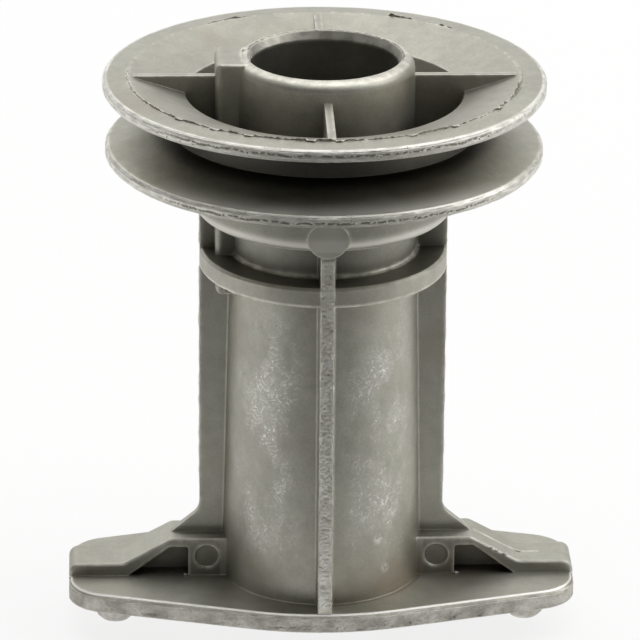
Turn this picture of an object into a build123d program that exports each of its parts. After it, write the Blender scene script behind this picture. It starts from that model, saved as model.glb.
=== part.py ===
from build123d import *
from math import cos, radians, tan
import os

# Blade holder of a lawn mower: one aluminium pressure die casting.
# The engine's shaft enters the bore from above. A V-belt pulley for the wheel drive is
# cast round the top of the hub, and the blade bolts up against the underside of the
# base plate, where two lugs key into it.
#
# Frame: Z is the shaft axis, pointing up to the engine. X runs along the two arms.
# z = 0 is the blade seat, the underside of the base plate. All lengths are millimetres.
# The die opens along Y, so the plane y = 0 is the parting plane.

# Hub and tube
bore_d = 25.0
height = 97.0
hub_top_d = 30.4
tube_foot_d = 34.4
hub_edge_r = 2.0
lead_in_d = 26.2
lead_in_depth = 1.4

# Keyway and the boss outside the bore that makes room for it
keyway_w = 6.0
keyway_depth = 1.4
key_boss_w = 10.0
key_boss_wall = 4.6
key_boss_foot_z = 55.8
key_boss_edge_r = 1.2

# Belt groove
pulley_d = 75.0
lower_rim_d = 74.2
groove_floor_d = 52.4
groove_floor_w = 3.75
groove_angle = 30.0
groove_mid_z = 86.4
rim_t = 1.9
rim_edge_c = 0.45

# Top of the pulley, formed by a slide that leaves a flash ring round its edge
flash_ring_d = 66.0
flash_ring_rise = 0.4
dish_mouth_d = 47.2
dish_drop = 3.0
pocket_floor_w = 2.9
pocket_floor_t = 2.6
pocket_web_t = 1.4
pocket_web_foot_t = 2.0

# Underside of the pulley: a bowl round the pocket, under the lower flange
bowl_z = 69.4
bowl_top_d = 48.6
bowl_foot_d = 43.6
bowl_edge_r = 2.5
lower_flange_root_t = 2.6

# Round flange half-way up the tube
collar_d = 42.2
collar_z = 59.3
collar_t = 3.55
collar_edge_c = 0.4

# Side webs along X and ribs along Y, on the outside of the tube
web_span = 42.2
web_t = 1.6
rib_span = 42.2
rib_face_w = 2.4
rib_root_w = 3.0
web_corner_r = 0.4

# Round ejector pads at the head of the ribs
head_pad_d = 6.9
head_pad_z = 71.7
head_pad_span = 42.4

# Base plate
plate_len = 87.6
plate_w = 43.4
plate_t = 3.2
plate_taper = 15.9
plate_corner_r = 7.5
plate_apex_r = 45.0
plate_edge_c = 0.6

# Arms on the plate, each with a sunk pocket on both sides and a solid pad by the tube
arm_w = 8.6
arm_ledge_z = 9.95
arm_ledge_x = 26.0
arm_low_z = 5.35
arm_low_x = 34.4
arm_end_r = 1.8
arm_edge_c = 0.35
arm_wall = 1.45
arm_septum_t = 1.6
pad_x = 23.1
pocket_toe_x = 33.5
pocket_r = 0.6
web_flare_z = 14.0
web_flare_r = 3.0
pin_mark_d = 4.1
pin_mark_x = 19.9
pin_mark_z = 6.7
pin_mark_depth = 0.35

# Drive lugs under the arms
lug_d = 6.5
lug_len = 6.4
lug_spacing = 71.5
lug_edge_c = 0.8

tube_slope = (tube_foot_d - hub_top_d) / 2 / height


def tube_r(z):
    """Outer radius of the tapered tube at a height."""
    return tube_foot_d / 2 - z * tube_slope


def corner(sketch, x, z):
    """The vertex of a section nearest to a point."""
    return sketch.vertices().sort_by_distance(Vector(x, z, 0))[0]


def section(corners):
    """A closed section from corners (x, z), or (x, z, fillet or chamfer, its size)."""
    face = make_face(Polyline(*[(x, z) for x, z, *_ in corners], close=True))
    for x, z, *edge in corners:
        if edge:
            operation, size = edge
            face = operation(corner(face, x, z), size)
    return face


def turned(corners):
    """A solid turned round the shaft axis from a section of (radius, z) corners."""
    return revolve(Plane.XZ * section(corners), axis=Axis.Z)


def across_y(corners, width):
    """A solid of an X-Z section, of a width centred on the parting plane."""
    return extrude(Plane.XZ * section(corners), amount=width / 2, both=True)


def both_ends(solid):
    """A solid and its copy on the other side of the shaft, along X."""
    return solid + mirror(solid, Plane.YZ)


def both_faces(solid):
    """A solid and its copy on the other side of the parting plane."""
    return solid + mirror(solid, Plane.XZ)


# Places worked out from the sizes above
groove_slope = tan(radians(groove_angle / 2))
upper_wall_z = groove_mid_z + groove_floor_w / 2 + (pulley_d - groove_floor_d) / 2 * groove_slope
lower_wall_z = groove_mid_z - groove_floor_w / 2 - (lower_rim_d - groove_floor_d) / 2 * groove_slope
flash_ring_z = upper_wall_z + rim_t + flash_ring_rise
dish_mouth_z = flash_ring_z - dish_drop
pocket_floor_z = bowl_z + pocket_floor_t
pocket_floor_r = tube_r(pocket_floor_z) + pocket_floor_w
bowl_top_z = groove_mid_z - groove_floor_w / 2 - lower_flange_root_t


def turned_body():
    """Tube, collar, bowl and pulley in one section, down from the crest to the seat."""
    rim_r = pulley_d / 2
    low_r = lower_rim_d / 2
    floor_r = groove_floor_d / 2
    collar_top = collar_z + collar_t
    corners = [
        (0, 0),
        (tube_r(0), 0),
        (tube_r(collar_z), collar_z),
        (collar_d / 2, collar_z, chamfer, collar_edge_c),
        (collar_d / 2, collar_top, chamfer, collar_edge_c),
        (tube_r(collar_top), collar_top),
        (tube_r(bowl_z), bowl_z),
        (bowl_foot_d / 2, bowl_z, fillet, bowl_edge_r),
        (bowl_top_d / 2, bowl_top_z),
        (low_r, lower_wall_z - rim_t, chamfer, rim_edge_c),
        (low_r, lower_wall_z, chamfer, rim_edge_c),
        (floor_r, groove_mid_z - groove_floor_w / 2),
        (floor_r, groove_mid_z + groove_floor_w / 2),
        (rim_r, upper_wall_z, chamfer, rim_edge_c),
        (rim_r, upper_wall_z + rim_t, chamfer, rim_edge_c),
        (flash_ring_d / 2, flash_ring_z),
        (dish_mouth_d / 2, dish_mouth_z),
        (pocket_floor_r, pocket_floor_z),
        (tube_r(pocket_floor_z), pocket_floor_z),
        (hub_top_d / 2, height, fillet, hub_edge_r),
        (0, height),
    ]
    return turned(corners)


def pocket_web():
    """One web across the pocket, thicker at its foot, level with the flash ring."""
    sunk = pocket_floor_t / 2
    reach = flash_ring_d / 2 - sunk / 2
    outline = [
        (0, pocket_floor_z - sunk),
        (pocket_floor_r + sunk, pocket_floor_z - sunk),
        (dish_mouth_d / 2 + sunk, dish_mouth_z - sunk),
        (reach, flash_ring_z - sunk),
        (reach, flash_ring_z),
        (0, flash_ring_z),
    ]
    wedge = make_face(Polyline(
        (-pocket_web_foot_t / 2, pocket_floor_z - sunk),
        (pocket_web_foot_t / 2, pocket_floor_z - sunk),
        (pocket_web_t / 2, flash_ring_z),
        (-pocket_web_t / 2, flash_ring_z),
        close=True,
    ))
    return across_y(outline, pulley_d) & extrude(Plane.YZ * wedge, amount=pulley_d)


def pocket_webs():
    """Four webs, a quarter turn apart."""
    web = pocket_web()
    return Part() + [Rot(0, 0, 90 * turn) * web for turn in range(4)]


def key_boss():
    """Flat-faced boss along the hub, outside the keyway."""
    face_x = bore_d / 2 + keyway_depth + key_boss_wall
    inner_x = bore_d / 4
    block = Pos(-(face_x + inner_x) / 2, 0, (height + key_boss_foot_z) / 2) * Box(
        face_x - inner_x, key_boss_w, height - key_boss_foot_z
    )
    outer = block.faces().sort_by(Axis.X)[0]
    block = fillet(outer.edges(), key_boss_edge_r)
    top = block.faces().sort_by(Axis.Z)[-1]
    sides = top.edges().filter_by(Axis.X)
    return fillet(sides, key_boss_edge_r / 2)


def star(radius):
    """Plan of the tube with its two webs and two ribs, the inner corners rounded."""
    rib = make_face(Polyline(
        (-rib_root_w / 2, bore_d / 2),
        (-rib_face_w / 2, rib_span / 2),
        (rib_face_w / 2, rib_span / 2),
        (rib_root_w / 2, bore_d / 2),
        close=True,
    ))
    plan = Circle(radius) + Rectangle(web_span, web_t) + rib + mirror(rib, Plane.XZ)
    on_tube = [v for v in plan.vertices() if abs(Vector(v.X, v.Y).length - radius) < web_t / 4]
    return fillet(on_tube, web_corner_r)


def webbed_tube():
    """The tube with webs and ribs, between the plate and the floor of the bowl."""
    foot_z = plate_t / 2
    head_z = bowl_z + pocket_floor_t / 2
    return loft([
        Pos(0, 0, foot_z) * star(tube_r(foot_z)),
        Pos(0, 0, head_z) * star(tube_r(head_z)),
    ], ruled=True)


def head_pad():
    """Round pad at the head of the front rib, where an ejector pin pushed."""
    depth = (head_pad_span - bore_d) / 2
    pad = Plane(origin=(0, -head_pad_span / 2, head_pad_z), z_dir=(0, 1, 0)) * extrude(
        Circle(head_pad_d / 2), amount=depth / 2
    )
    pocket = Cylinder(pocket_floor_r + pocket_floor_t / 2, head_pad_d)
    return pad - Pos(0, 0, pocket_floor_z + head_pad_d / 2) * pocket


def head_pad_recess():
    """What the pin cleared in front of the pad, where the bowl bulges past it."""
    return Plane(origin=(0, -head_pad_span / 2, head_pad_z), z_dir=(0, -1, 0)) * extrude(
        Circle(head_pad_d / 2), amount=head_pad_d
    )


def plate_plan():
    """Lozenge outline of the base plate."""
    taper = radians(plate_taper)
    half_len = plate_len / 2
    apex_w = plate_w / 2 + plate_apex_r * (1 / cos(taper) - 1)
    end_w = apex_w - half_len * tan(taper)
    corners = [
        (0, -apex_w, fillet, plate_apex_r),
        (half_len, -end_w, fillet, plate_corner_r),
        (half_len, end_w, fillet, plate_corner_r),
        (0, apex_w, fillet, plate_apex_r),
        (-half_len, end_w, fillet, plate_corner_r),
        (-half_len, -end_w, fillet, plate_corner_r),
    ]
    return section(corners)


def base_plate():
    """Flat plate that the blade bolts against."""
    plate = extrude(plate_plan(), amount=plate_t)
    top = plate.faces().sort_by(Axis.Z)[-1]
    return chamfer(top.edges(), plate_edge_c)


def arm():
    """One arm: ledge by the tube, slope, low end, and the pockets in its two faces."""
    half_len = plate_len / 2
    outline = [
        (0, plate_t / 2),
        (half_len, plate_t / 2),
        (half_len, arm_low_z, fillet, arm_end_r),
        (arm_low_x, arm_low_z, fillet, arm_end_r),
        (arm_ledge_x, arm_ledge_z, fillet, arm_end_r),
        (0, arm_ledge_z),
    ]
    body = across_y(outline, arm_w)
    rims = body.edges().filter_by(lambda e: abs(abs(e.center().Y) - arm_w / 2) < 0.01
                                  and e.center().Z > arm_low_z - arm_end_r)
    body = chamfer(rims, arm_edge_c)
    body = body & extrude(plate_plan(), amount=height)
    roof_z = arm_ledge_z - arm_wall
    hollow = across_y([
        (pad_x, plate_t),
        (pocket_toe_x, plate_t),
        (arm_ledge_x + arm_wall / 4, roof_z, fillet, pocket_r),
        (pad_x, roof_z, fillet, pocket_r),
    ], 2 * arm_w)
    septum = across_y([
        (0, 0),
        (half_len, 0),
        (half_len, height),
        (0, height),
    ], arm_septum_t)
    mark = Plane(origin=(pin_mark_x, -arm_w / 2, pin_mark_z), z_dir=(0, 1, 0)) * extrude(
        Circle(pin_mark_d / 2), amount=pin_mark_depth
    )
    return body - (hollow - septum) - both_faces(mark)


def web_flare():
    """Foot of a side web, where its edge curves out onto the slope of the arm."""
    edge_x = web_span / 2
    return across_y([
        (tube_r(0) - web_t, plate_t),
        (arm_ledge_x, plate_t),
        (arm_ledge_x, arm_ledge_z),
        (edge_x, web_flare_z, fillet, web_flare_r),
        (edge_x, web_flare_z + 2 * web_flare_r),
        (tube_r(0) - web_t, web_flare_z + 2 * web_flare_r),
    ], web_t)


def lug():
    """One drive lug under the plate, rounded at its end."""
    return Pos(lug_spacing / 2, 0, 0) * turned([
        (0, plate_t / 2),
        (lug_d / 2, plate_t / 2),
        (lug_d / 2, -lug_len, chamfer, lug_edge_c),
        (0, -lug_len),
    ])


def bore():
    """Shaft bore, right through, with its lead-in at the crest."""
    clear = bore_d
    return turned([
        (0, -clear),
        (bore_d / 2, -clear),
        (bore_d / 2, height - lead_in_depth),
        (lead_in_d / 2, height),
        (lead_in_d / 2, height + clear),
        (0, height + clear),
    ])


def keyway():
    """Slot beside the bore, open at the crest and closed at the foot of the boss."""
    reach = bore_d / 2 + keyway_depth
    foot_z = key_boss_foot_z + key_boss_edge_r
    length = height + bore_d - foot_z
    return Pos(-reach / 2, 0, foot_z + length / 2) * Box(reach, keyway_w, length)


holder = turned_body() + pocket_webs() + key_boss() + webbed_tube() + both_faces(head_pad())
holder = holder + base_plate() + both_ends(arm()) + both_ends(web_flare()) + both_ends(lug())
holder = holder - both_faces(head_pad_recess()) - bore() - keyway()
holder.label = "holder_casting"

os.makedirs("parts", exist_ok=True)
export_step(holder, "parts/holder_casting.step")
print("holder_casting", len(holder.solids()), "solid,", round(holder.volume / 1000, 2), "cm3")
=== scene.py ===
# %% [markdown]
# # Dressing a die-cast blade holder
#
# The object is one pressure die casting: a shaft hub with a V-belt pulley round its head,
# a ribbed tube and a lozenge base plate. The CAD model already has its shape, so this
# notebook gives it what the foundry gave the real one: a satin cast skin, rims and edges
# that were trimmed in a press, flash along the lines where the die halves and the slide
# met, and the pale scuffs of a box full of castings.

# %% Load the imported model
import math

import bmesh
import bpy
from mathutils import Matrix, Vector, noise


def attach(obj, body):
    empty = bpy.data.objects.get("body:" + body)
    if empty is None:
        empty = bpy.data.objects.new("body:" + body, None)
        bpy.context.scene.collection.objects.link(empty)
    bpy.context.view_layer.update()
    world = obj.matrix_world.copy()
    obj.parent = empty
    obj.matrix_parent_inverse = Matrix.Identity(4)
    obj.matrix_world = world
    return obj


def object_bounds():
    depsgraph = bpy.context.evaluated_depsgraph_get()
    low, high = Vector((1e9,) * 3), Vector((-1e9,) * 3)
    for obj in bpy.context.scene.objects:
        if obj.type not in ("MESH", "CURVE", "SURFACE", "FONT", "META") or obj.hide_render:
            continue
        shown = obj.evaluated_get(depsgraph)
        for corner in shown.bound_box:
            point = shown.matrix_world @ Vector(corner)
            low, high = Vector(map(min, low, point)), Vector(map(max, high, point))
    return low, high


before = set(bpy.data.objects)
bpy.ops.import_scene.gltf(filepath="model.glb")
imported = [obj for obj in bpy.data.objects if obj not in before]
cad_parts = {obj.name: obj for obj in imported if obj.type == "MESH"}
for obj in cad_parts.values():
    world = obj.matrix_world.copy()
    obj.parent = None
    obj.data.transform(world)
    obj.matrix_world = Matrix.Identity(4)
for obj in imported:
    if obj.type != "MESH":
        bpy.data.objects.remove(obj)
cad_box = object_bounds()
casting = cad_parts["holder_casting"]
MM = 0.001
print("CAD box in mm:", [[round(c / MM, 2) for c in corner] for corner in cad_box])

# %% [markdown]
# ## Helpers
#
# A picked colour is written as an sRGB hex value, but a shader works in linear light, so
# one function turns the one into the other. Node trees could be drawn by hand in the shader
# editor, but in a script one function that adds a node is enough: its settings are plain
# values, and its inputs are values or the sockets they come from. In a colour Mix node,
# socket 0 is the factor, 6 and 7 are the two colours, and output 2 is the mix.


# %% Helpers for colours, nodes and objects
def linear(hex_colour):
    """Linear RGBA from an sRGB hex colour such as '#a9a79b'."""
    channels = [int(hex_colour[i:i + 2], 16) / 255 for i in (1, 3, 5)]
    return [c / 12.92 if c <= 0.04045 else ((c + 0.055) / 1.055) ** 2.4 for c in channels] + [1]


def add(tree, kind, inputs=(), out=0, **settings):
    """Adds a shader node and gives its output out. inputs maps a socket's name or number
    to a value or a socket."""
    node = tree.nodes.new("ShaderNode" + kind)
    for name, value in settings.items():
        setattr(node, name, value)
    for name, value in dict(inputs).items():
        if isinstance(value, bpy.types.NodeSocket):
            tree.links.new(value, node.inputs[name])
        else:
            node.inputs[name].default_value = value
    return node.outputs[out] if node.outputs else None


def empty_material(name):
    """A material with an empty node tree."""
    material = bpy.data.materials.new(name)
    material.use_nodes = True
    material.node_tree.nodes.clear()
    return material, material.node_tree


def in_mm(tree):
    """Object coordinates in millimetres."""
    place = add(tree, "TexCoord", out="Object")
    return add(tree, "VectorMath", {0: place, "Scale": 1 / MM}, operation="SCALE")


def make_object(name, work, material):
    """Makes an object of a bmesh, and frees the bmesh."""
    made = bpy.data.objects.new(name, bpy.data.meshes.new(name))
    work.to_mesh(made.data)
    work.free()
    made.data.materials.append(material)
    bpy.context.collection.objects.link(made)
    return made


print("#808080 in linear light:", round(linear("#808080")[0], 3))

# %% [markdown]
# ## Camera
#
# The photograph was taken with a long lens from a little above, so the rims are flat
# ellipses and the tube hardly narrows. A camera could be turned by eye until it fits, but
# its place was worked out from the ellipses of the rims and the corners of the plate,
# which is surer. It looks at a point on the shaft axis, and the small shift puts the
# object where it is in the photograph's frame.

# %% Place the camera
PHOTO_PX = 640
AZIMUTH, ELEVATION, ROLL = (math.radians(angle) for angle in (-2.349, 21.535, 0.514))
AIM = Vector((0, 0, 50.5)) * MM
DISTANCE = 946.6 * MM
FOCAL_PX = 5521.0
PRINCIPAL_PX = (322.56, 311.83)

back = Vector((
    math.sin(AZIMUTH) * math.cos(ELEVATION),
    -math.cos(AZIMUTH) * math.cos(ELEVATION),
    math.sin(ELEVATION),
))
level = Vector((math.cos(AZIMUTH), math.sin(AZIMUTH), 0))
upright = back.cross(level)
across = level * math.cos(ROLL) + upright * math.sin(ROLL)
above = upright * math.cos(ROLL) - level * math.sin(ROLL)

camera = bpy.data.objects.new("camera", bpy.data.cameras.new("camera"))
bpy.context.collection.objects.link(camera)
bpy.context.scene.camera = camera
camera.matrix_world = Matrix.Translation(AIM + back * DISTANCE) @ Matrix(
    (across, above, back)
).transposed().to_4x4()
camera.data.sensor_width = 36
camera.data.lens = camera.data.sensor_width * FOCAL_PX / PHOTO_PX
camera.data.shift_x = (PHOTO_PX / 2 - PRINCIPAL_PX[0]) / PHOTO_PX
camera.data.shift_y = (PRINCIPAL_PX[1] - PHOTO_PX / 2) / PHOTO_PX
camera.data.clip_end = 20
bpy.context.scene.view_settings.view_transform = "Standard"
print("lens in mm:", round(camera.data.lens, 1))

# %% [markdown]
# ## Table
#
# The photograph has a pure white ground. It could be cut out by hand or lit until it burns
# out, but then the metal would burn out too. So the table is matt white paper, and the
# rays of the camera and of reflections see it mixed with plain white. The rest is real
# light on paper, which keeps the soft shadow near the casting, and further out the camera
# sees pure white. The table's edge curls up all round, so a low camera sees paper and not
# the end of the table.

# %% Make the paper table
TABLE_R, CURL = 3.0, 0.4
WHITE_TO_CAMERA, WHITE_TO_METAL = 0.84, 0.58
SHADOW_R, PURE_WHITE_R = 0.2, 0.6
TABLE_Z = cad_box[0].z

paper, tree = empty_material("matt white paper")
lit = add(tree, "BsdfDiffuse", {"Color": linear("#f4f4f2")})
white = add(tree, "Emission", {"Color": linear("#ffffff"), "Strength": 1.0})
ray = add(tree, "LightPath").node.outputs
bounced = add(tree, "Math", {0: ray["Is Glossy Ray"],
                             1: ray["Is Transmission Ray"]}, operation="MAXIMUM")
bounced = add(tree, "Math", {0: bounced, 1: WHITE_TO_METAL}, operation="MULTIPLY")
from_object = add(tree, "VectorMath", {0: add(tree, "TexCoord", out="Object")},
                  operation="LENGTH", out="Value")
seen_white = add(tree, "MapRange", {"Value": from_object, "From Min": SHADOW_R,
                                    "From Max": PURE_WHITE_R,
                                    "To Min": WHITE_TO_CAMERA})
share = add(tree, "Math", {0: ray["Is Camera Ray"], 1: seen_white,
                           2: bounced}, operation="MULTIPLY_ADD")
both = add(tree, "MixShader", {0: share, 1: lit, 2: white})
add(tree, "OutputMaterial", {"Surface": both})

work = bmesh.new()
bmesh.ops.create_circle(work, cap_ends=True, segments=96, radius=TABLE_R)
edge = [e for e in work.edges if e.is_boundary]
curled = bmesh.ops.extrude_edge_only(work, edges=edge)["geom"]
bmesh.ops.translate(
    work, verts=[v for v in curled if isinstance(v, bmesh.types.BMVert)], vec=(0, 0, CURL)
)
bmesh.ops.translate(work, verts=work.verts, vec=(0, 0, TABLE_Z))
table = make_object("table", work, paper)
print("table at z mm:", round(TABLE_Z / MM, 2))

# %% [markdown]
# ## Dark cards
#
# A metal has almost no colour of its own and shows what is round it. In the photograph
# every face that looks at the camera is dark, so something dark lay in front. A dark world
# would darken the sides as well. So a grey card close to the part and a long black one
# beyond it lie flat on the table in front. Only reflections see them: they throw no shadow
# and stay out of the picture.


# %% Lay the cards
def lay_card(name, near, far, width, hex_colour):
    """A flat card on the table in front of the part, from y = near to y = far."""
    surface, tree = empty_material(name)
    matt = add(tree, "BsdfDiffuse", {"Color": linear(hex_colour)})
    add(tree, "OutputMaterial", {"Surface": matt})
    work = bmesh.new()
    bmesh.ops.create_grid(work, x_segments=1, y_segments=1, size=0.5)
    bmesh.ops.scale(work, verts=work.verts, vec=(width, near - far, 1))
    bmesh.ops.translate(work, verts=work.verts, vec=(0, (near + far) / 2, TABLE_Z + MM))
    card = make_object(name, work, surface)
    card.visible_camera = False
    card.visible_shadow = False
    print(name, "from y", near, "to", far)


lay_card("grey card", -0.055, -0.2, 0.3, "#a6a6a4")
lay_card("black card", -0.2, -1.3, 0.7, "#161616")

# %% [markdown]
# ## Light
#
# The upturned faces are bright, and so is the tube towards its sides, most of all on the
# right, while its middle is darker. So no lamp stands in front. A softbox hangs overhead,
# one stands on the right, and a long bank behind the part lights the level faces, because
# a face that looks up throws the light from behind towards the camera. The world is dark.


# %% Hang the softboxes
def softbox(name, azimuth, elevation, width, height, power, distance=1.2):
    """An area lamp that looks at the object. Azimuth 0 is the camera's side."""
    data = bpy.data.lights.new(name, "AREA")
    data.shape, data.size, data.size_y, data.energy = "RECTANGLE", width, height, power
    lamp = bpy.data.objects.new(name, data)
    a, e = math.radians(azimuth), math.radians(elevation)
    towards = Vector((math.sin(a) * math.cos(e), -math.cos(a) * math.cos(e), math.sin(e)))
    lamp.location = AIM + towards * distance
    lamp.rotation_mode = "QUATERNION"
    lamp.rotation_quaternion = towards.to_track_quat("Z", "Y")
    bpy.context.collection.objects.link(lamp)


softbox("softbox overhead", 0, 90, 1.2, 1.2, 9.3)
softbox("softbox right", 90, 40, 0.9, 0.9, 7.0)
softbox("softbox left", -90, 40, 0.9, 0.9, 0.8)
softbox("softbox behind left", -135, 40, 0.8, 0.8, 1.4)
softbox("bank behind", 180, 33, 2.2, 1.3, 8.2)

world = bpy.data.worlds.new("dark studio")
bpy.context.scene.world = world
world.use_nodes = True
background = world.node_tree.nodes["Background"]
background.inputs["Color"].default_value = linear("#dcdcda")
background.inputs["Strength"].default_value = 0.02
print("lamps:", [lamp.name for lamp in bpy.data.lights])

# %% [markdown]
# ## The casting's skin
#
# Pressure die-cast aluminium comes out of the die with a satin grey skin. It is metal all
# the way, so the Principled shader is fully metallic with its default IOR, and only the
# colour, the roughness and a fine relief change from place to place. Everything below is
# worked out from Object coordinates turned into millimetres, so each pattern has a real
# size and stays put on the part.

# %% Coordinates in millimetres
cast_skin, tree = empty_material("aluminium, pressure die-cast, as cast")
mm = in_mm(tree)
x_mm, y_mm, z_mm = add(tree, "SeparateXYZ", {0: mm}).node.outputs
sideways = add(tree, "Math", {0: x_mm}, operation="ABSOLUTE")
fore_aft = add(tree, "Math", {0: y_mm}, operation="ABSOLUTE")
plan = add(tree, "VectorMath", {0: mm, 1: (1, 1, 0)}, operation="MULTIPLY")
radius = add(tree, "VectorMath", {0: plan}, operation="LENGTH", out="Value")
bearing = add(tree, "VectorMath", {0: plan}, operation="NORMALIZE")
print("one millimetre is", MM, "of a Blender unit")

# %% [markdown]
# ### Mottling
#
# The melt cools unevenly against the die, and the release agent dries on it in spots. A
# photographed texture would show seams on such a part, while noise runs through every
# face. So the grey has wide clouds of 12 mm, spots of about 2 mm and a grain of 0.4 mm,
# and here and there a faint brown stain, 17 mm wide.

# %% Clouds, spots, grain and stains
clouds = add(tree, "TexNoise", {"Vector": mm, "Scale": 1 / 12, "Detail": 2.0})
spots = add(tree, "TexNoise", {"Vector": mm, "Scale": 1 / 2.2, "Detail": 3.0})
grain = add(tree, "TexNoise", {"Vector": mm, "Scale": 1 / 0.4, "Detail": 2.0})
stain = add(tree, "TexNoise", {"Vector": mm, "Scale": 1 / 17, "Detail": 1.0})

tone = add(tree, "Math", {0: clouds, 1: spots}, operation="ADD")
tone = add(tree, "Math", {0: grain, 1: 0.9, 2: tone}, operation="MULTIPLY_ADD")
tone = add(tree, "MapRange", {"Value": tone, "From Min": 1.1, "From Max": 1.8})
colour = add(tree, "Mix", {0: tone, 6: linear("#adaba0"), 7: linear("#bebdb2")},
             data_type="RGBA", out=2)
stained = add(tree, "MapRange", {"Value": stain, "From Min": 0.56, "From Max": 0.72,
                                 "To Max": 0.35})
colour = add(tree, "Mix", {0: stained, 6: colour, 7: linear("#a69b8f")}, data_type="RGBA", out=2)
print("nodes so far:", len(tree.nodes))

# %% [markdown]
# ### Painted shade in the hollows
#
# The deep hollows get painted shade: their colour is darker where little light reaches. They
# could be painted by hand, but ambient occlusion finds them: it is low where the view is
# blocked all round. A few faces get more painted shade than it says, such as the belt groove
# and the bore. Each is given by limits on its radius, height or side, in millimetres.


# %% Find the hollows and the bore for painted shade
def within(*limits):
    """How far a place is inside all the limits, 0 to 1.

    Each limit is a measure, where it starts to count, and where it counts in full."""
    share = 1.0
    for measure, none, full in limits:
        part = add(tree, "MapRange", {"Value": measure, "From Min": none, "From Max": full})
        share = add(tree, "Math", {0: part, 1: share}, operation="MULTIPLY")
    return share


# Painted shade: ambient occlusion makes the colour darker in the hollows.
hollow = add(tree, "AmbientOcclusion", {"Distance": 14 * MM}, samples=8, out="AO")
painted_shade = add(tree, "MapRange", {"Value": hollow, "From Min": 0.43, "From Max": 0.08,
                              "To Max": 0.75})
on_crest = within((z_mm, 95.2, 95.8))
painted_shade = add(tree, "Math", {0: painted_shade, 1: on_crest}, operation="SUBTRACT", use_clamp=True)
arm_face = ((fore_aft, 4.1, 4.2), (fore_aft, 4.6, 4.5), (sideways, 17.4, 17.8),
            (z_mm, 12.0, 11.0))
PAINTED_SHADE = {
    "shaded bore": (0.46, (radius, 13.0, 12.7), (z_mm, 95.8, 95.2)),
    "belt groove": (0.65, (radius, 30.0, 27.0), (radius, 25.5, 26.0), (z_mm, 80.0, 82.0),
                    (z_mm, 90.0, 89.0)),
    "arm faces": (0.2, *arm_face),
    "pin marks": (0.3, (fore_aft, 4.1, 4.0), (fore_aft, 3.8, 3.9), (sideways, 22.2, 22.0),
                  (z_mm, 9.0, 8.8), (z_mm, 4.0, 4.2)),
    "neck under the bowl": (0.22, (radius, 20.6, 20.2), (z_mm, 62.4, 62.7), (z_mm, 70.0, 69.5)),
    "bowl under the flange": (0.32, (radius, 24.6, 24.3), (radius, 18.0, 19.0),
                              (z_mm, 71.2, 72.6), (z_mm, 80.0, 79.0)),
    "pads of the arms": (0.13, *arm_face, (sideways, 24.2, 24.0)),
}
for strength, *limits in PAINTED_SHADE.values():
    painted_shade = add(tree, "Math", {0: within(*limits), 1: strength, 2: painted_shade},
               operation="MULTIPLY_ADD", use_clamp=True)
# Painted shade: the hollows and the places listed above are mixed towards a dark grey.
colour = add(tree, "Mix", {0: painted_shade, 6: colour, 7: linear("#403e35")}, data_type="RGBA", out=2)
print("places with painted shade:", ", ".join(PAINTED_SHADE))

# %% [markdown]
# ### Parting face, lugs, lower flank and the plate's rim
#
# The flat face on the crossing of rib and bowl is a little paler. Painted light makes the
# foot of the bowl paler, and the two lugs under the plate, and the front of the groove's
# lower flank towards its rim. The plate's upper edge has a painted highlight, a thin bright
# line, with a darker band just below it. Separate materials would need the casting cut
# into pieces, so these too are places in millimetres in the one material.

# %% Pale places
front_view = add(tree, "VectorMath", {0: mm, 1: (1, 0, 1)}, operation="MULTIPLY")
away = add(tree, "VectorMath", {0: front_view, 1: (0, 0, 71.7)},
           operation="DISTANCE", out="Value")
head_pad = within((fore_aft, 20.3, 20.5), (away, 3.42, 3.36))
head_pad = add(tree, "Math", {0: head_pad, 1: 0.6}, operation="MULTIPLY")
# Painted light: the lugs are paler, as if lit by the white table below them.
lug_painted_light_tone = add(tree, "Mix", {0: within((spots, 0.4, 0.6)), 6: linear("#c9c7be"),
                             7: linear("#eae8e2")}, data_type="RGBA", out=2)
painted_light_on_lug = within((z_mm, -0.2, -0.6))
# Painted light: the front of the lower flank is paler towards its rim, where the upper rim shades
# it less.
flank_painted_light = within((radius, 32.0, 36.0), (y_mm, -20.0, -32.0), (z_mm, 80.5, 81.0),
               (z_mm, 86.0, 85.0))
# Painted light: the foot of the bowl is paler, as if its lower rounding caught light from below.
bowl_foot_painted_light = within((radius, 19.4, 19.8), (radius, 24.0, 23.0), (z_mm, 69.3, 69.6),
                   (z_mm, 72.0, 71.2))
bowl_foot_painted_light = add(tree, "Math", {0: bowl_foot_painted_light, 1: 0.6}, operation="MULTIPLY")
# Painted highlight: a thin bright line along the plate's upper edge.
plate_lip_highlight = within((z_mm, 2.9, 2.98), (z_mm, 3.19, 3.12))
under_lip = within((z_mm, 2.5, 2.6), (z_mm, 2.9, 2.8))
under_lip = add(tree, "Math", {0: under_lip, 1: 0.35}, operation="MULTIPLY")
for share, tone in ((head_pad, linear("#dddbd2")), (painted_light_on_lug, lug_painted_light_tone),
                    (flank_painted_light, linear("#f4f3ee")), (bowl_foot_painted_light, linear("#e6e4dc")),
                    (under_lip, linear("#403e35")), (plate_lip_highlight, linear("#f4f3ef"))):
    colour = add(tree, "Mix", {0: share, 6: colour, 7: tone}, data_type="RGBA", out=2)
print("nodes so far:", len(tree.nodes))

# %% [markdown]
# ### Edges rubbed bright, with painted highlights
#
# Every outer edge is rubbed bright by the castings beside it, and gets a painted highlight
# on top of that wear. The usual way is Geometry's Pointiness, but it needs a fine even
# mesh, and a CAD mesh has long triangles. Ambient occlusion turned inside the metal is low
# just at an edge, whatever the mesh. The spots break the line up.

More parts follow.
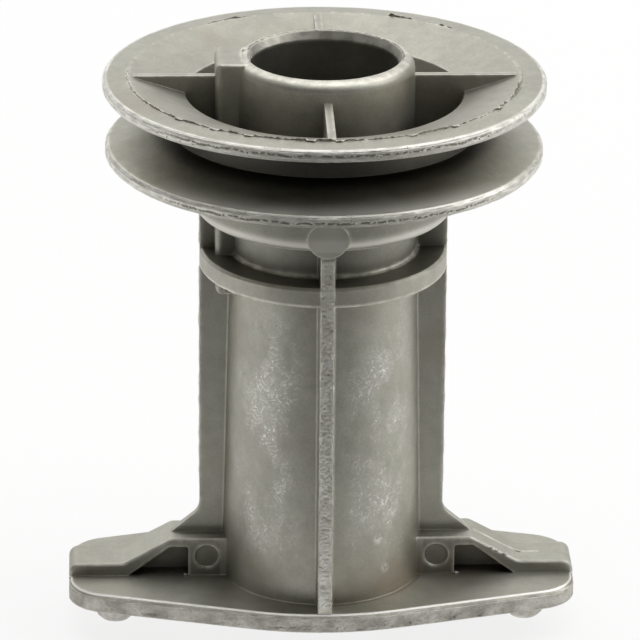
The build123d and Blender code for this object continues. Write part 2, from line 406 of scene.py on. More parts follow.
# %% Find the edges
near_edge = add(tree, "AmbientOcclusion", {"Distance": 0.7 * MM}, samples=8,
                inside=True, out="AO")
patchy = add(tree, "MapRange", {"Value": spots, "From Min": 0.4, "From Max": 0.6, "To Min": 0.4})
worn = add(tree, "MapRange", {"Value": near_edge, "From Min": 0.96, "From Max": 0.6})
worn = add(tree, "Math", {0: worn, 1: patchy}, operation="MULTIPLY")
# Wear and painted highlight: the edges are mixed towards a pale grey.
colour = add(tree, "Mix", {0: worn, 6: colour, 7: linear("#dddbd0")}, data_type="RGBA", out=2)
print("nodes so far:", len(tree.nodes))

# %% [markdown]
# ### Trimmed rims
#
# The flash round both rims was cut off in a trimming press. The cut face is brighter than
# the skin, with scratches that run round the rim, small dark pits where the metal tore,
# and in front a shallow torn groove, whose lower lip catches the light. Noise has no
# direction, but it can be stretched: the direction round the shaft and the height are
# scaled apart, so the scratches change every 2.5 mm round the rim and every 0.5 mm across.

# %% Scratches and pits of the rims
RIM_R, SCRATCH_LONG, SCRATCH_WIDE = 37.5, 2.5, 0.5
high_up = add(tree, "Math", {0: z_mm, 1: 70.0}, operation="GREATER_THAN")
on_rim = add(tree, "Math", {0: within((radius, 36.6, 36.9)), 1: high_up}, operation="MULTIPLY")
round_rim = add(tree, "VectorMath", {0: bearing, "Scale": RIM_R / SCRATCH_LONG},
                operation="SCALE")
up_rim = add(tree, "VectorMath", {0: mm, 1: (0, 0, 1 / SCRATCH_WIDE)}, operation="MULTIPLY")
run = add(tree, "VectorMath", {0: round_rim, 1: up_rim}, operation="ADD")
scratches = add(tree, "TexNoise", {"Vector": run, "Scale": 1.0, "Detail": 1.0})
torn = add(tree, "TexNoise", {"Vector": mm, "Scale": 1 / 0.7, "Detail": 2.0})
pits = within((torn, 0.33, 0.27))
print("nodes so far:", len(tree.nodes))

# %% The torn groove of the rims
UPPER_GROOVE_Z, LOWER_GROOVE_Z, GROOVE_HALF_W, WANDER = 92.35, 80.55, 0.36, 0.9
wander = add(tree, "TexNoise", {"Vector": round_rim, "Scale": 1.0, "Detail": 3.0})
line_z = add(tree, "Math", {0: wander, 1: WANDER, 2: z_mm}, operation="MULTIPLY_ADD")
groove = 0.0
for groove_z in (UPPER_GROOVE_Z, LOWER_GROOVE_Z):
    off = add(tree, "Math", {0: line_z, 1: groove_z + WANDER / 2}, operation="SUBTRACT")
    off = add(tree, "Math", {0: off}, operation="ABSOLUTE")
    deep = add(tree, "MapRange", {"Value": off, "From Min": GROOVE_HALF_W, "From Max": 0.0},
               interpolation_type="SMOOTHSTEP")
    groove = add(tree, "Math", {0: deep, 1: groove}, operation="ADD")
in_front = within((y_mm, -22.0, -29.0), (torn, 0.4, 0.5))
groove = add(tree, "Math", {0: groove, 1: in_front}, operation="MULTIPLY")

rim_colour = add(tree, "Mix", {0: within((scratches, 0.36, 0.62)), 6: linear("#cfcdc4"),
                               7: linear("#eeede6")}, data_type="RGBA", out=2)
rim_colour = add(tree, "Mix", {0: pits, 6: rim_colour, 7: linear("#8a8679")},
                 data_type="RGBA", out=2)
rim_colour = add(tree, "Mix", {0: groove, 6: rim_colour, 7: linear("#858174")},
                 data_type="RGBA", out=2)
colour = add(tree, "Mix", {0: on_rim, 6: colour, 7: rim_colour}, data_type="RGBA", out=2)
print("grooves at z mm:", UPPER_GROOVE_Z, LOWER_GROOVE_Z)

# %% [markdown]
# ### Painted shadows beside the slide's flash
#
# Beside the flash of the top slide a painted shadow lies as a thin dark line: one in front
# beside the fin on the ring, and one round the far half of the bore's mouth, beside the
# burr there. A groove cut into the mesh would be far finer than its faces, so it is a line
# in the colour: the radius plus a little noise, within a tenth of a millimetre of the line's.


# %% Dark lines at the slide
def dark_line(line_r, half_w, *limits, wander=0.7):
    """A thin wandering line round the shaft: 1 on it, and 0 outside the limits."""
    off = add(tree, "Math", {0: spots, 1: wander, 2: radius}, operation="MULTIPLY_ADD")
    off = add(tree, "Math", {0: off, 1: line_r + wander / 2}, operation="SUBTRACT")
    off = add(tree, "Math", {0: off}, operation="ABSOLUTE")
    return within((off, half_w, half_w * 0.3), (torn, 0.36, 0.48), *limits)


fin_shadow_line = dark_line(33.36, 0.09, (z_mm, 93.1, 93.2), (y_mm, 3.0, -3.0))
burr_shadow_line = dark_line(13.28, 0.24, (z_mm, 96.6, 96.7), (y_mm, -4.5, -2.5))
fin_shadow_line = add(tree, "Math", {0: fin_shadow_line, 1: burr_shadow_line}, operation="MAXIMUM")
fin_shadow_line = add(tree, "Math", {0: fin_shadow_line, 1: 0.75}, operation="MULTIPLY")
# Painted shadow: the lines are mixed towards a dark grey.
colour = add(tree, "Mix", {0: fin_shadow_line, 6: colour, 7: linear("#46433a")}, data_type="RGBA", out=2)
print("nodes so far:", len(tree.nodes))

# %% [markdown]
# ### Scuffs on the tube
#
# Castings tumble against each other in their box, so the two bulges of the tube, left and
# right of the rib, have clusters of fine pale marks. One noise alone looks like a cloud,
# so several kinds of mark are laid over each other inside a wide noise that says where
# the clusters are: a faint haze, flecks of half a millimetre, a few thin wandering
# scratches, and short strokes in three directions. Two harder knocks shine low on the
# right.

# %% Where the clusters are
side = add(tree, "Math", {0: sideways, 1: radius}, operation="DIVIDE")
tall = add(tree, "VectorMath", {0: mm, 1: (1 / 6, 1 / 6, 1 / 11)}, operation="MULTIPLY")
cluster = add(tree, "TexNoise", {"Vector": tall, "Scale": 1.0, "Detail": 3.0, "Roughness": 0.6})
on_tube = add(tree, "Math", {0: radius, 1: 18.0}, operation="LESS_THAN")
bulge = within((cluster, 0.44, 0.6), (side, 0.12, 0.45), (side, 0.95, 0.7),
               (z_mm, 58.0, 48.0), (z_mm, 8.0, 16.0))
cluster = add(tree, "Math", {0: bulge, 1: on_tube}, operation="MULTIPLY")
print("nodes so far:", len(tree.nodes))

# %% Thin scratches and flecks
strands = add(tree, "TexNoise", {"Vector": mm, "Scale": 1 / 2.6, "Detail": 4.0,
                                 "Roughness": 0.62, "Distortion": 1.2})
strands = add(tree, "Math", {0: strands, 1: 0.5}, operation="SUBTRACT")
strands = add(tree, "Math", {0: strands}, operation="ABSOLUTE")
strands = add(tree, "MapRange", {"Value": strands, "From Min": 0.018, "From Max": 0.0,
                                 "To Max": 0.7})
flecks = add(tree, "TexNoise", {"Vector": mm, "Scale": 1 / 0.55, "Detail": 2.0})
bright_flecks = add(tree, "MapRange", {"Value": flecks, "From Min": 0.58, "From Max": 0.7,
                                       "To Max": 0.9})
marks = add(tree, "Math", {0: strands, 1: bright_flecks}, operation="MAXIMUM")
print("nodes so far:", len(tree.nodes))

# %% Short strokes in three directions
STROKE_LONG, STROKE_WIDE = 2.4, 0.28
STROKE_SIZE = (1 / STROKE_LONG, 1 / STROKE_WIDE, 1 / STROKE_LONG)
for degrees in (20, 70, -50):
    lean = math.radians(degrees)
    along = add(tree, "VectorMath", {0: mm, 1: (math.sin(lean), 0, math.cos(lean))},
                operation="DOT_PRODUCT", out="Value")
    across = add(tree, "VectorMath", {0: mm, 1: (math.cos(lean), 0, -math.sin(lean))},
                 operation="DOT_PRODUCT", out="Value")
    slanted = add(tree, "CombineXYZ", {"X": along, "Y": across, "Z": y_mm})
    slanted = add(tree, "VectorMath", {0: slanted, 1: STROKE_SIZE}, operation="MULTIPLY")
    strokes = add(tree, "TexNoise", {"Vector": slanted, "Scale": 1.0, "Detail": 1.0})
    strokes = add(tree, "MapRange", {"Value": strokes, "From Min": 0.66, "From Max": 0.76,
                                     "To Max": 0.8})
    marks = add(tree, "Math", {0: marks, 1: strokes}, operation="MAXIMUM")
print("strokes in mm:", STROKE_LONG, "by", STROKE_WIDE)

# %% Haze and knocks
KNOCKS = ((9.3, -14.1, 14.0), (10.6, -13.3, 8.4))
scuffs = add(tree, "Math", {0: marks, 1: cluster}, operation="MULTIPLY")
shares = [(cluster, 0.18)]
for knock in KNOCKS:
    away = add(tree, "VectorMath", {0: mm, 1: knock}, operation="DISTANCE", out="Value")
    shares.append((within((away, 1.2, 0.2), (flecks, 0.38, 0.5)), 0.8))
for share, strength in shares:
    scuffs = add(tree, "Math", {0: share, 1: strength, 2: scuffs}, operation="MULTIPLY_ADD",
                 use_clamp=True)
colour = add(tree, "Mix", {0: scuffs, 6: colour, 7: linear("#efeee9")}, data_type="RGBA", out=2)
print("knocks:", len(KNOCKS))

# %% [markdown]
# ### Burnt stain
#
# At the tube's foot the release agent burnt on and left a faint brown stain. It is a wash
# of one colour, strongest at the foot and broken up by the wide clouds.

# %% Brown stain at the foot of the tube
burnt = within((z_mm, 17.0, 5.0), (clouds, 0.42, 0.6))
burnt = add(tree, "Math", {0: burnt, 1: on_tube}, operation="MULTIPLY")
burnt = add(tree, "Math", {0: burnt, 1: 0.45}, operation="MULTIPLY")
colour = add(tree, "Mix", {0: burnt, 6: colour, 7: linear("#8f8172")}, data_type="RGBA", out=2)
print("nodes so far:", len(tree.nodes))

# %% [markdown]
# ### Relief and roughness
#
# The cast skin is never quite smooth: a fine grain, a soft orange peel, and deeper marks
# on the trimmed rims. All heights are added up in millimetres and given to one Bump node.
# Moving the mesh itself would need millions of faces for such a grain. The Bevel node
# rounds the sharp edges of the CAD mesh by 0.35 mm for the light only, as the small radii
# of a casting do.

# %% Build the shader
relief = add(tree, "Math", {0: grain, 1: 0.03}, operation="MULTIPLY")
relief = add(tree, "Math", {0: spots, 1: 0.04, 2: relief}, operation="MULTIPLY_ADD")
cut = add(tree, "Math", {0: scratches, 1: 0.02}, operation="MULTIPLY")
cut = add(tree, "Math", {0: pits, 1: -0.04, 2: cut}, operation="MULTIPLY_ADD")
cut = add(tree, "Math", {0: groove, 1: -0.07, 2: cut}, operation="MULTIPLY_ADD")
relief = add(tree, "Math", {0: cut, 1: on_rim, 2: relief}, operation="MULTIPLY_ADD")
soft_edge = add(tree, "Bevel", {"Radius": 0.35 * MM}, samples=6)
bump = add(tree, "Bump", {"Strength": 1.0, "Distance": MM, "Height": relief, "Normal": soft_edge})
gloss = add(tree, "MapRange", {"Value": clouds, "From Min": 0.3, "From Max": 0.7,
                               "To Min": 0.44, "To Max": 0.56})
metal = add(tree, "BsdfPrincipled", {"Base Color": colour, "Metallic": 1.0,
                                     "Roughness": gloss, "Normal": bump})
add(tree, "OutputMaterial", {"Surface": metal})
for slot in casting.material_slots:
    slot.material = cast_skin
print("nodes in the cast skin:", len(tree.nodes))

# %% [markdown]
# ## New pieces: flash and trimmed edges
#
# Where the die halves, the side slides and the top slide met, the melt crept into the gap
# and left thin ragged fins: flash. The press cut most of it off. All of it is small, but
# it breaks every edge of the real casting, so it is modelled and not painted. Each piece
# starts from a bmesh operator and gets its raggedness from mathutils noise, which is the
# same on every run.


# %% Helpers for the pieces
def rough(point_mm, size):
    """Smooth noise, about -1 to 1, with bumps of one size in mm."""
    return noise.noise(Vector(point_mm) / size)


def window(value, centre, half_width, soft):
    """1 within half_width of the centre, falling to 0 over a further soft."""
    return min(1.0, max(0.0, (half_width + soft - abs(value - centre)) / soft))


def azimuth(point):
    """Degrees round the shaft: 0 at the camera's side, +90 at +X."""
    return math.degrees(math.atan2(point.x, -point.y))


def finished(name, work, material):
    """Makes the object of a bmesh in mm, and lets it ride on the casting."""
    bmesh.ops.remove_doubles(work, verts=work.verts, dist=1e-4)
    bmesh.ops.recalc_face_normals(work, faces=work.faces)
    bmesh.ops.scale(work, verts=work.verts, vec=(MM, MM, MM))
    piece = make_object(name, work, material)
    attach(piece, "root")
    print(name, len(piece.data.polygons), "faces")


def turned(profile, steps):
    """A skin round the shaft through a profile of (radius, z) points."""
    work = bmesh.new()
    bmesh.ops.create_circle(work, segments=steps, radius=profile[0][0])
    bmesh.ops.translate(work, verts=work.verts, vec=(0, 0, profile[0][1]))
    edges = work.edges[:]
    for (r0, z0), (r1, z1) in zip(profile, profile[1:]):
        grown = bmesh.ops.extrude_edge_only(work, edges=edges)["geom"]
        verts = [item for item in grown if isinstance(item, bmesh.types.BMVert)]
        edges = [item for item in grown if isinstance(item, bmesh.types.BMEdge)]
        bmesh.ops.scale(work, verts=verts, vec=(r1 / r0, r1 / r0, 1))
        bmesh.ops.translate(work, verts=verts, vec=(0, 0, z1 - z0))
    return work


# %% [markdown]
# ### Material: sheared flash
#
# Flash is the same alloy, but the shear left it torn: matt and grey on its sides, bright
# where it broke. The skin's own material is too even for it. A coarse noise of 0.8 mm
# mixes the two greys, and its relief is deeper than the skin's.

# %% Material of the fins
sheared, tree = empty_material("aluminium, sheared flash")
mm = in_mm(tree)
tear = add(tree, "TexNoise", {"Vector": mm, "Scale": 1 / 0.8, "Detail": 4.0})
broken = add(tree, "MapRange", {"Value": tear, "From Min": 0.42, "From Max": 0.6})
colour = add(tree, "Mix", {0: broken, 6: linear("#8d8a7e"), 7: linear("#d3d1c7")},
             data_type="RGBA", out=2)
gloss = add(tree, "MapRange", {"Value": tear, "To Min": 0.6, "To Max": 0.35})
bump = add(tree, "Bump", {"Strength": 1.0, "Distance": 0.08 * MM, "Height": tear})
metal = add(tree, "BsdfPrincipled", {"Base Color": colour, "Metallic": 1.0,
                                     "Roughness": gloss, "Normal": bump})
add(tree, "OutputMaterial", {"Surface": metal})
print(sheared.name, len(tree.nodes), "nodes")

# %% [markdown]
# ### Flash of the top slide
#
# The dish was formed by a slide from above, and its flash stands on the ring where the
# slide met the die. It is low and nearly whole in front, torn into a few taller bits on
# the right and at the back, and almost gone elsewhere. It could be a strip with an image
# for its outline, but a wall is simple: a circle of edges is extruded upwards, the new
# row gets a ragged height, faces that are too low are deleted, and solidify gives the fin
# its thickness. At a few places the fin was knocked flat, and its broad side shines.


# %% Ragged fins round the shaft
def ring_fin(name, ring_r, foot_z, height_at, flat_at=(), wall=0.14, wander=0.12, steps=1200):
    """An upright fin of ragged height. height_at(azimuth, point) is in mm, and flat_at are
    the azimuths where it was knocked flat."""
    buried = 0.2
    work = bmesh.new()
    bmesh.ops.create_circle(work, segments=steps, radius=ring_r)
    bmesh.ops.translate(work, verts=work.verts, vec=(0, 0, foot_z - buried))
    grown = bmesh.ops.extrude_edge_only(work, edges=work.edges[:])["geom"]
    head = {item for item in grown if isinstance(item, bmesh.types.BMVert)}
    for vert in work.verts:
        spot = Vector((vert.co.x, vert.co.y, 0))
        outward = spot.normalized()
        vert.co += outward * wander * rough(spot, 2.2)
        if vert in head:
            height = height_at(azimuth(spot), spot)
            flat = max([window(azimuth(spot), turn, 0.9, 0.6) for turn in flat_at] + [0])
            vert.co.z = foot_z + height * (1 - 0.6 * flat) + 0.1 * flat
            vert.co += outward * (height * 0.5 * rough(spot, 0.9) + 0.55 * flat)
    least = 0.03
    low = [face for face in work.faces
           if max(vert.co.z for vert in face.verts) < foot_z + least]
    bmesh.ops.delete(work, geom=low, context="FACES")
    bmesh.ops.recalc_face_normals(work, faces=work.faces)
    bmesh.ops.solidify(work, geom=work.faces[:], thickness=wall)
    finished(name, work, sheared)


def slide_flash(turn, spot):
    """Height of the flash on the slide ring: whole in front, torn at a few azimuths."""
    front = window(turn, -12, 50, 20) * (0.2 + 0.2 * rough(spot, 2.6))
    front = max(front, window(turn, -75, 18, 6) * 0.14)
    torn = (window(turn, 70, 12, 3) * (0.42 + 1.0 * rough(spot, 1.4))
            + window(turn, -5, 3, 2) * 0.3 + window(turn, 30, 5, 3) * 0.06
            + window(turn, -151, 5, 2) * (0.3 + 0.5 * rough(spot, 1.6))
            + window(turn, 154.5, 3.0, 1) * (0.32 + 0.5 * rough(spot, 1.2))
            + window(turn, 140, 4.5, 1) * (0.12 + 0.5 * rough(spot, 1.2)))
    calm = 0.4 if abs(turn) > 100 else 1.0
    return max(0.0, front + torn + calm * 0.22 * rough(spot, 0.6))


FLASH_R, FLASH_Z = 33.2, 93.57
ring_fin("slide_flash", FLASH_R, FLASH_Z, slide_flash,
         flat_at=(-48, -35, -24, -6, 2, 23.5, 38, 58))

# %% [markdown]
# ### Burr on the crest
#
# The slide's core left a much finer burr on the crest, only on its far side. It is the
# same kind of fin, so the same function makes it. It must not stand higher than the crest
# itself, so it starts a little down the rounding.

# %% Burr on the crest
BURR_R, BURR_Z, BURR_MAX = 13.75, 96.78, 0.2


def crest_burr(turn, spot):
    """Height of the burr on the crest: the far side only."""
    height = window(abs(turn), 180, 66, 8) * (0.1 + 0.12 * rough(spot, 1.1))
    return min(BURR_MAX, max(0.0, height))


ring_fin("crest_burr", BURR_R, BURR_Z, crest_burr, wall=0.12, wander=0.08, steps=600)

# %% [markdown]
# ### Material: trimmed faces
#
# Where the trimming press or the grinder cut the casting, the face is paler than the cast
# skin and speckled, with a dull, finely torn relief. Near the plate's underside, below 3.4
# mm, it is darker and more uneven. Speckles of 0.5 mm and patches of 3 mm are added before
# the colours are mixed, so pale and dark bits clump.

# %% Material of the trimmed faces
trimmed, tree = empty_material("aluminium, trimmed face")
mm = in_mm(tree)
height_mm = add(tree, "SeparateXYZ", {0: mm}, out="Z")
speckle = add(tree, "TexNoise", {"Vector": mm, "Scale": 1 / 0.5, "Detail": 3.0})
patch = add(tree, "TexNoise", {"Vector": mm, "Scale": 1 / 3.0, "Detail": 2.0})
pale = add(tree, "Math", {0: speckle, 1: patch}, operation="ADD")
pale = within((pale, 0.8, 1.25))
ground = add(tree, "Mix", {0: pale, 6: linear("#c4c2b8"), 7: linear("#ebeae3")},
             data_type="RGBA", out=2)
low_edge = add(tree, "Mix", {0: pale, 6: linear("#a09d94"), 7: linear("#d6d4cc")},
               data_type="RGBA", out=2)
colour = add(tree, "Mix", {0: within((height_mm, 3.4, 3.2)), 6: ground, 7: low_edge},
             data_type="RGBA", out=2)
gloss = add(tree, "Math", {0: speckle, 1: 1.1}, operation="MULTIPLY")
bump = add(tree, "Bump", {"Strength": 1.0, "Distance": 0.13 * MM, "Height": speckle})
metal = add(tree, "BsdfPrincipled", {"Base Color": colour, "Metallic": 1.0,
                                     "Roughness": gloss, "Normal": bump})
add(tree, "OutputMaterial", {"Surface": metal})
print(trimmed.name, len(tree.nodes), "nodes")

# %% [markdown]
# ### Lips of the trimmed rims
#
# The trimming press left a lip along both edges of each rim, in places sharp and full, in
# places broken down to the chamfer. A bevel on the rim would be the same all round. So a
# circle of edges is extruded along a profile of five points, and noise moves the
# profile's corner in and out.


# %% Lips round the shaft
def ring_lip(name, rim_r, rim_z, inwards, chamfer, full, wild=0.16, steps=1200):
    """A ragged lip on the chamfer of a turned edge. inwards is 1 on its top, -1 below. full
    is how much of the lip is left in front, and wild how much that changes."""
    reach = chamfer + 0.2
    profile = [(rim_r - reach, rim_z - inwards * 0.06), (rim_r - chamfer * 0.6, rim_z),
               (rim_r, rim_z), (rim_r, rim_z - inwards * chamfer * 0.6),
               (rim_r - 0.06, rim_z - inwards * reach)]
    work = turned(profile, steps)
    for vert in work.verts:
        outward = Vector((vert.co.x, vert.co.y, 0))
        across_rim = rim_r - outward.length
        along_rim = inwards * (rim_z - vert.co.z)
        if min(across_rim, along_rim) > 0.05 or max(across_rim, along_rim) > chamfer:
            continue
        here = full * (0.4 + 0.6 * window(abs(azimuth(vert.co)), 0, 45, 25))
        worn = 1 - here - wild * (rough(vert.co, 3.5) + 0.6 * rough(vert.co, 0.8))
        worn = min(1.0, max(0.0, worn)) * (chamfer * 0.62 - abs(across_rim - along_rim) / 2)
        vert.co -= (outward.normalized() + Vector((0, 0, inwards))) * worn
    finished(name, work, trimmed)


RIMS = {"upper_rim": (37.48, 93.19, 91.31), "lower_rim": (37.08, 81.60, 79.72)}
RIM_CHAMFER, COLLAR_CHAMFER = 0.45, 0.4
COLLAR_R, COLLAR_LOW = 21.08, 59.31
for rim_name, (rim_radius, rim_top, rim_low) in RIMS.items():
    ring_lip(f"{rim_name}_lip_top", rim_radius, rim_top, 1, RIM_CHAMFER, full=0.4)
    ring_lip(f"{rim_name}_lip_low", rim_radius, rim_low, -1, RIM_CHAMFER, full=0.7)
ring_lip("collar_lip_low", COLLAR_R, COLLAR_LOW, -1, COLLAR_CHAMFER, full=0.35, wild=0.5,
         steps=900)

# %% [markdown]
# ### Small rings: root fillet, bowl lip and the mouth of the bore
#
# Where the tube stands on the collar a small fillet catches the light, and the bowl's
# lower rounding has a thin lip where two die parts met. Round the bore the photo shows a
# closed ring, so a slim ring lies in the lead-in and closes the upper end of the keyway.
# The spin operator would do, but one extrusion for each point of a short profile is
# quicker with so many steps round the shaft.


# %% Turned rings
def turned_ring(name, profile, material, wander=0.0, steps=600, place=Matrix()):
    """A ring round the shaft through a profile of (radius, z) points whose last point is
    its first. place is a matrix that moves it elsewhere."""
    work = turned(profile, steps)
    for vert in work.verts:
        vert.co.z += wander * rough(vert.co, 2.0)
    bmesh.ops.transform(work, matrix=place, verts=work.verts)
    finished(name, work, material)


def arc(centre_r, centre_z, size, start, end, count=6):
    """Points of an arc in the turned profile; angles in degrees, 0 outwards."""
    turns = [math.radians(start + (end - start) * step / (count - 1)) for step in range(count)]
    return [(centre_r + size * math.cos(turn), centre_z + size * math.sin(turn))
            for turn in turns]


TUBE_R_AT_COLLAR, COLLAR_TOP = 15.9, 62.85
BOWL_EDGE_R, BOWL_EDGE_Z, LIP_SECTION_R = 20.2, 69.55, 0.22
FILLET_R = 0.5
fillet_profile = arc(TUBE_R_AT_COLLAR + FILLET_R, COLLAR_TOP + FILLET_R, FILLET_R, 180, 270)
fillet_profile += [(TUBE_R_AT_COLLAR + FILLET_R, COLLAR_TOP - 0.2),
                   (TUBE_R_AT_COLLAR - 0.3, COLLAR_TOP - 0.2),
                   (TUBE_R_AT_COLLAR - 0.3, COLLAR_TOP + FILLET_R), fillet_profile[0]]
MOUTH_PROFILE = [(14.1, 96.77), (13.9, 96.86), (13.5, 96.96), (13.2, 96.99), (13.1, 96.98),
                 (12.52, 95.62), (13.9, 95.62), (14.1, 96.77)]
lip_profile = arc(BOWL_EDGE_R, BOWL_EDGE_Z, LIP_SECTION_R, 0, 360, 9)
turned_ring("tube_root_fillet", fillet_profile, cast_skin)
turned_ring("bowl_lip", lip_profile, trimmed, wander=0.05)
turned_ring("mouth_ring", MOUTH_PROFILE, trimmed)

# %% [markdown]
# ## Rough faces: ribs, plate edge and web edges
#
# The faces on the parting plane were torn or ground when the flash came off: the front of
# each rib is pitted, the edge of the plate is rough below a bright upper edge, and the
# outer edges of the side webs waver. Bump alone leaves their outline straight. So a thin
# sheet of real relief lies on each face: a grid whose points are pushed out by noise and
# whose border is sunk into the casting, with a little thickness from solidify.


# %% Sheets of relief
def relief_sheet(name, along, across, base_at, height_at, sunk=0.1, closed=False,
                 material=trimmed):
    """A sheet of relief on a face. base_at(u, v), u and v from -1 to 1, gives a point of
    the face and its outward normal, and height_at(point, u, v) the height over it. A
    closed sheet is a belt: its two ends in u meet."""
    work = bmesh.new()
    bmesh.ops.create_grid(work, x_segments=along, y_segments=across, size=1.0)
    for vert in work.verts:
        u, v = vert.co.x, vert.co.y
        spot, outward = base_at(u, v)
        border = max(abs(v), 0 if closed else abs(u)) > 0.999
        vert.co = spot + outward * (-sunk if border else height_at(spot, u, v))
    bmesh.ops.remove_doubles(work, verts=work.verts, dist=1e-4)
    work.normal_update()
    centre, outward = base_at(0, 0)
    middle = min(work.faces, key=lambda face: (face.calc_center_median() - centre).length)
    if middle.normal.dot(outward) < 0:
        bmesh.ops.reverse_faces(work, faces=work.faces)
    bmesh.ops.solidify(work, geom=work.faces[:], thickness=0.1)
    finished(name, work, material)


# %% [markdown]
# ### Rib faces
#
# The rib's face is 2.4 mm wide. Its two edges have a raised, wavering lip, and between
# them the metal is pitted. A sculpted patch would look the same, but this one can be
# changed with a number. The sheet runs on over the collar, which is as proud as the rib.

# %% Rib sheets
RIB_Y, RIB_HALF_W = 21.1, 1.2
RIB_LOW_Z, RIB_HIGH_Z = 3.4, 68.1


def rib_height(spot, u, v):
    """Relief of a rib face: pits in the middle, a lip along each edge."""
    pitted = 0.1 + 0.06 * rough(spot, 1.1) + 0.06 * rough(spot, 0.45)
    pit = min(0.0, rough(spot, 0.8) + 0.35) * min(1.0, max(0.15, (spot.z - 25) / 20))
    lip = window(abs(v), 0.86, 0.05, 0.22) * (0.08 + 0.07 * rough(spot, 1.7)) * (1.2 + 0.5 * v)
    return max(0.02, pitted + 0.4 * pit + lip)


def rib_base(face):
    """The flat face of a rib; face is -1 in front and 1 at the back."""
    def base_at(u, v):
        z = RIB_LOW_Z + (RIB_HIGH_Z - RIB_LOW_Z) * (u + 1) / 2
        side = v * (RIB_HALF_W + 0.1 * rough((v * 9, face, z), 1.3))
        return Vector((side, face * RIB_Y, z)), Vector((0, face, 0))
    return base_at


for side_name, side in (("front", -1), ("back", 1)):
    relief_sheet(f"rib_face_{side_name}", 400, 16, rib_base(side), rib_height)

# %% [markdown]
# ### Edge of the plate
#
# The plate's edge runs straight at 15.9 degrees from each end, turns through a large
# radius in the middle and round each end. Four separate sheets would show seams at their
# ends, so one belt follows the whole outline. It is calm under the bright upper edge and
# rough near the underside, with a few flakes.

# %% Belt of relief round the plate
TAPER = math.radians(15.9)
PLATE_HALF_L, PLATE_HALF_W, PLATE_APEX_R, PLATE_END_R = 43.8, 21.7, 45.0, 7.5
PLATE_EDGE_LOW, PLATE_EDGE_TOP = 0.04, 2.55
taper_offset = (PLATE_HALF_W - PLATE_APEX_R) * math.cos(TAPER) + PLATE_APEX_R
end_centre_x = PLATE_HALF_L - PLATE_END_R
end_centre_y = (taper_offset - PLATE_END_R - end_centre_x * math.sin(TAPER)) / math.cos(TAPER)
apex_end = (PLATE_APEX_R * math.sin(TAPER),
            PLATE_HALF_W - PLATE_APEX_R * (1 - math.cos(TAPER)))
corner_start = (end_centre_x + PLATE_END_R * math.sin(TAPER),
                end_centre_y + PLATE_END_R * math.cos(TAPER))
lengths = (PLATE_APEX_R * TAPER, math.dist(apex_end, corner_start),
           PLATE_END_R * (math.pi / 2 - TAPER), end_centre_y)


def quarter_outline(share):
    """Point and outward direction on a quarter of the plate's outline, share 0 to 1."""
    run = share * sum(lengths)
    if run < lengths[0]:
        turn = run / PLATE_APEX_R
        return (PLATE_APEX_R * math.sin(turn),
                PLATE_HALF_W - PLATE_APEX_R * (1 - math.cos(turn)), turn)
    run -= lengths[0]
    if run < lengths[1]:
        part = run / lengths[1]
        return (apex_end[0] + (corner_start[0] - apex_end[0]) * part,
                apex_end[1] + (corner_start[1] - apex_end[1]) * part, TAPER)
    run -= lengths[1]
    if run < lengths[2]:
        turn = TAPER + run / PLATE_END_R
        return (end_centre_x + PLATE_END_R * math.sin(turn),
                end_centre_y + PLATE_END_R * math.cos(turn), turn)
    return PLATE_HALF_L, max(0.0, end_centre_y - (run - lengths[2])), math.pi / 2


def plate_edge(u, v):
    """A point of the plate's edge and its outward normal, once round as u goes -1 to 1."""
    quarter = min(3, int((u + 1) * 2))
    share = (u + 1) * 2 - quarter
    x, y, turn = quarter_outline(share if quarter % 2 == 0 else 1 - share)
    right, front = (1, 1, -1, -1)[quarter], (-1, 1, 1, -1)[quarter]
    z = PLATE_EDGE_LOW + (PLATE_EDGE_TOP - PLATE_EDGE_LOW) * (v + 1) / 2
    return (Vector((right * x, front * y, z)),
            Vector((right * math.sin(turn), front * math.cos(turn), 0)))


def plate_height(spot, u, v):
    """Relief of the plate's edge: rougher below, and flat on the end faces."""
    torn = 0.12 * rough(spot, 0.9) + 0.1 * rough(spot, 0.45) + 0.1 * rough(spot, 2.5)
    torn *= (0.55 - 0.45 * v) * (0.4 + 0.6 * window(spot.x, 6, 14, 10))
    flake = max(0.0, rough(spot + Vector((0, 0, 9)), 3.2) - 0.25) * window(v, -0.8, 0.1, 0.4)
    return min(max(0.02, 0.1 + torn + 0.7 * flake), PLATE_HALF_L - 0.03 - abs(spot.x))


relief_sheet("plate_edge_belt", 1080, 14, plate_edge, plate_height, closed=True)

# %% [markdown]
# ### Outer edges of the side webs
#
# The parting plane runs along the middle of these narrow edges. A low ridge of flash is
# left there, cut off unevenly, so the outline of the webs wavers. It is a sheet like the
# others, in two parts, one below and one above the collar.

# %% Web edge sheets
WEB_X, WEB_HALF_T = 21.1, 0.8
WEB_PARTS = {"low": (18.6, 59.1), "high": (63.1, 69.2)}
GRID_STEP = 0.22


def web_height(spot, u, v):
    """Relief of a web's outer edge: a ridge of flash in the middle."""
    ridge = window(v, 0, 0.25, 0.6) * (0.1 + 0.12 * rough(spot, 3.0) + 0.05 * rough(spot, 0.8))
    return max(0.02, 0.03 + ridge)


def web_base(face, low_z, high_z):
    """A stretch of a web's outer edge; face is -1 on the left and 1 on the right."""
    def base_at(u, v):
        z = low_z + (high_z - low_z) * (u + 1) / 2
        return Vector((face * WEB_X, v * WEB_HALF_T, z)), Vector((face, 0, 0))
    return base_at


for side_name, side in (("left", -1), ("right", 1)):
    for part_name, (low_z, high_z) in WEB_PARTS.items():
        relief_sheet(f"web_edge_{side_name}_{part_name}", int((high_z - low_z) / GRID_STEP), 8,
                     web_base(side, low_z, high_z), web_height)

# %% [markdown]
# ### Parting line on the arms
#
# From the web's foot the parting line runs on down the slope of the right arm as a thin
# ridge. On the left arm it is ground away. It could be a bevelled curve, but the same
# sheet fades out better at its end.

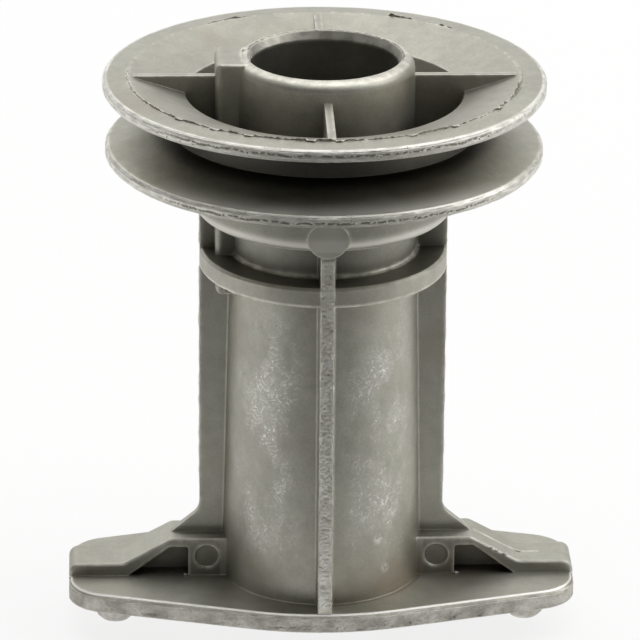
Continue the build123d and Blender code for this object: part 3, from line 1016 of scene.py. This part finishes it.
# %% Parting ridge of the right arm
ARM_LINE = ((26.6, 9.62), (33.8, 5.68), (35.2, 5.35), (38.0, 5.35))


def arm_line(u):
    """A point of the arm's outline and its slope angle, u from -1 to 1 along it."""
    x = ARM_LINE[0][0] + (ARM_LINE[-1][0] - ARM_LINE[0][0]) * (u + 1) / 2
    for (x0, z0), (x1, z1) in zip(ARM_LINE, ARM_LINE[1:]):
        if x <= x1 + 1e-6:
            share = (x - x0) / (x1 - x0)
            return x, z0 + (z1 - z0) * share, math.atan2(z1 - z0, x1 - x0)


def arm_ridge_height(spot, u, v):
    """A low ridge that fades towards the arm's end."""
    fade = 1 - 0.8 * (u + 1) / 2
    return window(v, 0, 0.2, 0.6) * fade * max(0.0, 0.07 + 0.08 * rough(spot, 1.8))


def arm_base(u, v):
    """The parting line on the top of the right arm."""
    x, z, slope = arm_line(u)
    waver = 0.12 * rough((x, 0, 0), 3.0)
    return Vector((x, 0.3 * v + waver, z)), Vector((-math.sin(slope), 0, math.cos(slope)))


relief_sheet("arm_ridge", 90, 6, arm_base, arm_ridge_height, sunk=0.06, material=cast_skin)

# %% [markdown]
# ### Rings round the ejector pins
#
# Ejector pins pushed the casting out of the die on the sides of the arms, and left round
# hollows whose rim is rolled over, so that its lower inside catches the light. The CAD
# model has the hollows, and a bump map can't raise a rim. So each rim is a turned ring
# with a slanted inner side, turned to look along Y.

# %% Pin rings
PIN_X, PIN_Y, PIN_Z = 19.9, 4.3, 6.7
PIN_PROFILE = [(1.96, -0.33), (2.16, 0.015), (2.22, 0.015), (2.26, -0.05), (2.26, -0.33),
               (1.96, -0.33)]
for face_name, face in (("front", -1), ("back", 1)):
    for side_name, side in (("left", -1), ("right", 1)):
        turned_ring(f"pin_ring_{face_name}_{side_name}", PIN_PROFILE, trimmed, steps=96,
                    place=Matrix.Translation((side * PIN_X, face * PIN_Y, PIN_Z))
                    @ Matrix.Rotation(-face * math.pi / 2, 4, "X"))

# %% [markdown]
# ### Torn chips
#
# At a few corners the metal tore when the casting was trimmed: on the front edge of the
# right arm's slope, at the foot of both arm faces and under the collar on the left. At
# this size a flattened, roughened ball that is half sunk in the metal is enough.


# %% Chips
def chip(name, centre, size):
    """A torn bit of metal: a rough flattened ball, size in mm along x, y and z."""
    work = bmesh.new()
    bmesh.ops.create_icosphere(work, subdivisions=3, radius=1.0)
    for vert in work.verts:
        vert.co *= 1 + 0.45 * rough(vert.co + Vector(centre), 0.7)
    bmesh.ops.scale(work, verts=work.verts, vec=size)
    bmesh.ops.translate(work, verts=work.verts, vec=centre)
    finished(name, work, trimmed)


CHIPS = {
    "slope_chip_a": ((29.6, -4.25, 7.95), (0.35, 0.16, 0.2)),
    "slope_chip_b": ((30.5, -4.25, 7.45), (0.3, 0.2, 0.16)),
    "slope_chip_c": ((31.9, -4.22, 6.75), (0.45, 0.2, 0.2)),
    "arm_foot_chip_left": ((-23.6, -4.35, 3.35), (0.35, 0.25, 0.2)),
    "arm_foot_chip_right": ((23.4, -4.35, 3.35), (0.5, 0.3, 0.22)),
    "collar_chip_left": ((-17.0, -12.3, 59.2), (0.5, 0.3, 0.2)),
}
for chip_name, (chip_centre, chip_size) in CHIPS.items():
    chip(chip_name, chip_centre, chip_size)
